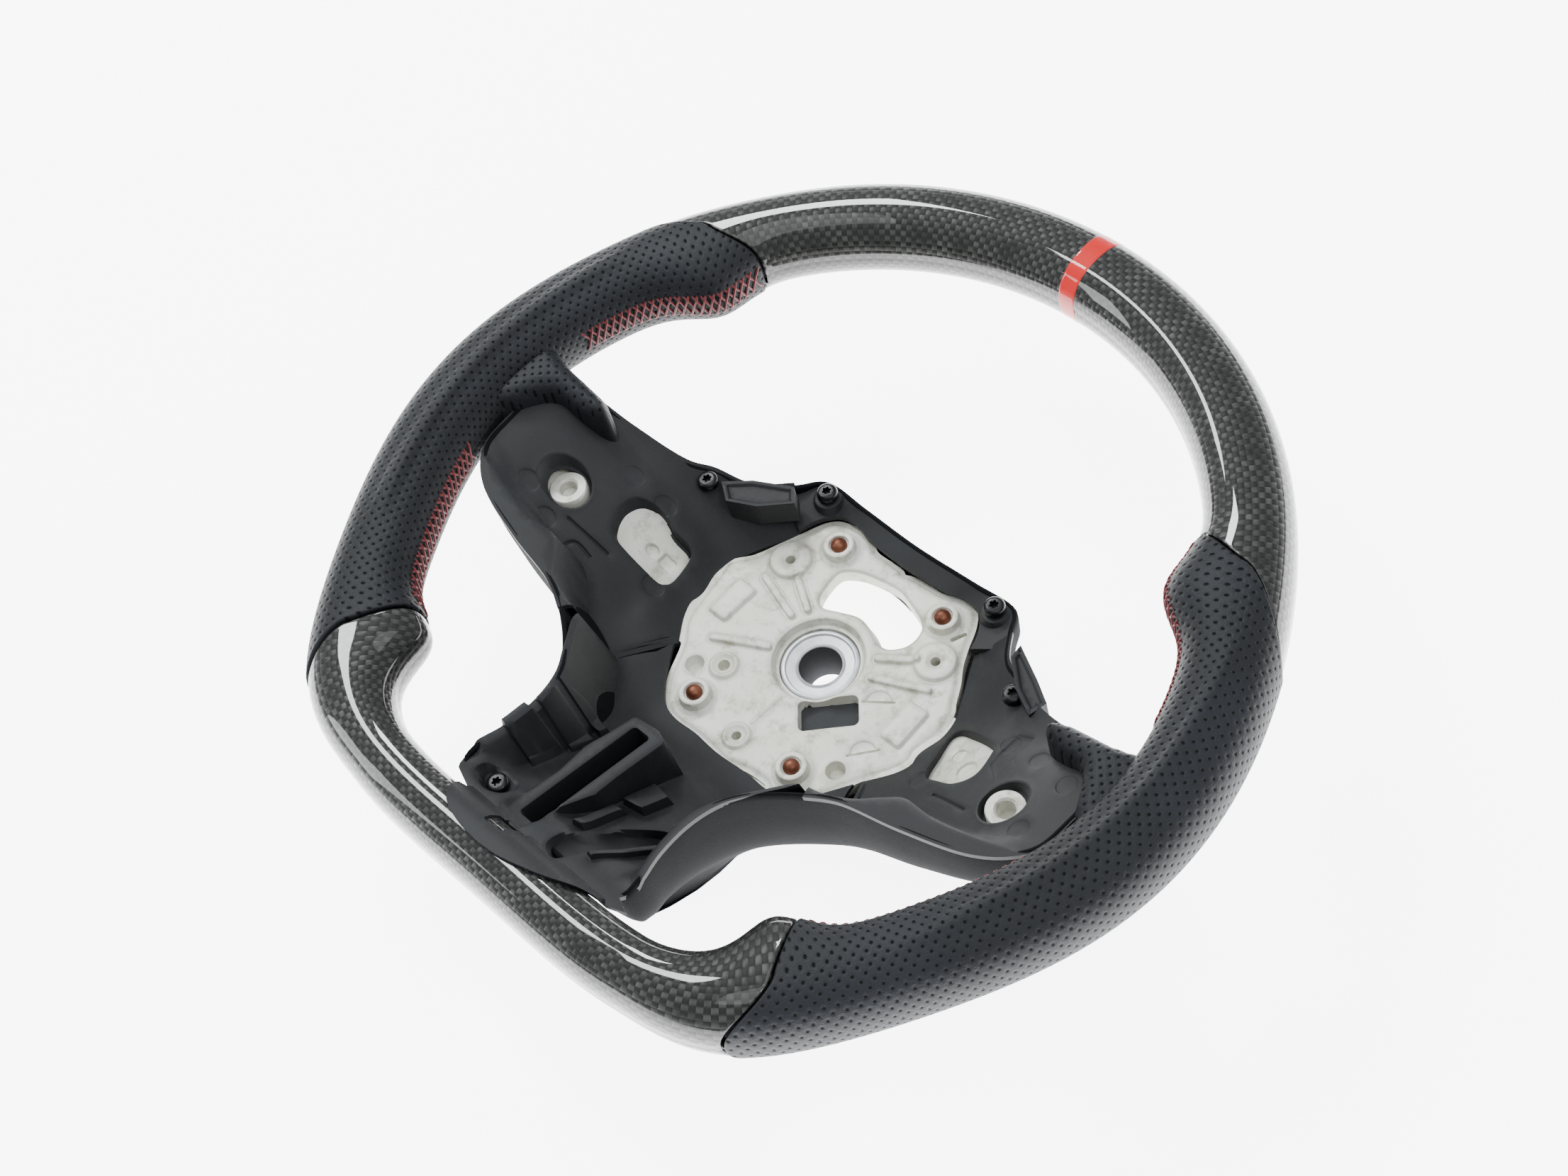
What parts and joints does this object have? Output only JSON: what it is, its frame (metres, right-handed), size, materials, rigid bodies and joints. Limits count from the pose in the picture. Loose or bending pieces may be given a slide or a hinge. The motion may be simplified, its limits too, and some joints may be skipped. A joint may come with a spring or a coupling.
{
  "type": "sports steering wheel",
  "caption": "Flat-bottomed sports steering wheel without its airbag: carbon and perforated leather rim, magnesium casting, moulded spokes and rear cover.",
  "frame": {"origin": "centre of the bounding box seen from the driver, at the height of the hub's rear face; the steering axis passes through (0, -0.013)", "axes": "+Z along the steering axis towards the driver, +Y to 12 o'clock, +X to 3 o'clock"},
  "size_m": [0.3636, 0.3471, 0.1002],
  "materials": {
    "magnesium": "pale cast magnesium, lightly oxidised, matt",
    "steel": "machined steel",
    "copper": "copper-coloured, worn bright on the dome",
    "foam": "dark integral foam, hidden",
    "carbon": "small plain weave under deep clear coat",
    "marker": "bright red under clear coat",
    "leather": "charcoal perforated leather, semi-matt",
    "thread": "red cross-stitched thread",
    "plastic": "charcoal, fine spark-eroded grain",
    "screw": "black oxide"
  },
  "bodies": {
    "root": {"armature_casting": "magnesium", "carbon_bottom_front": "carbon", "carbon_bottom_rear": "carbon", "carbon_top_front": "carbon", "carbon_top_rear": "carbon", "centre_marker": "marker", "cover_screw_inner_left": "screw", "cover_screw_inner_right": "screw", "cover_screw_lower": "screw", "cover_screw_outer_left": "screw", "cover_screw_outer_right": "screw", "grip_foam_bottom": "foam", "grip_foam_left": "foam", "grip_foam_right": "foam", "grip_foam_top": "foam", "horn_contact_lower_left": "copper", "horn_contact_lower_right": "copper", "horn_contact_upper_left": "copper", "horn_contact_upper_right": "copper", "hub_insert": "steel", "hub_top_strip": "plastic", "leather_grip_left": "leather", "leather_grip_right": "leather", "rear_cover": "plastic", "spoke_skin_left": "plastic", "spoke_skin_lower": "plastic", "spoke_skin_right": "plastic", "stitching_left_lower": "thread", "stitching_left_upper": "thread", "stitching_right_lower": "thread", "stitching_right_upper": "thread", "thumb_rest_left": "leather", "thumb_rest_right": "leather"}
  },
  "joints": []
}
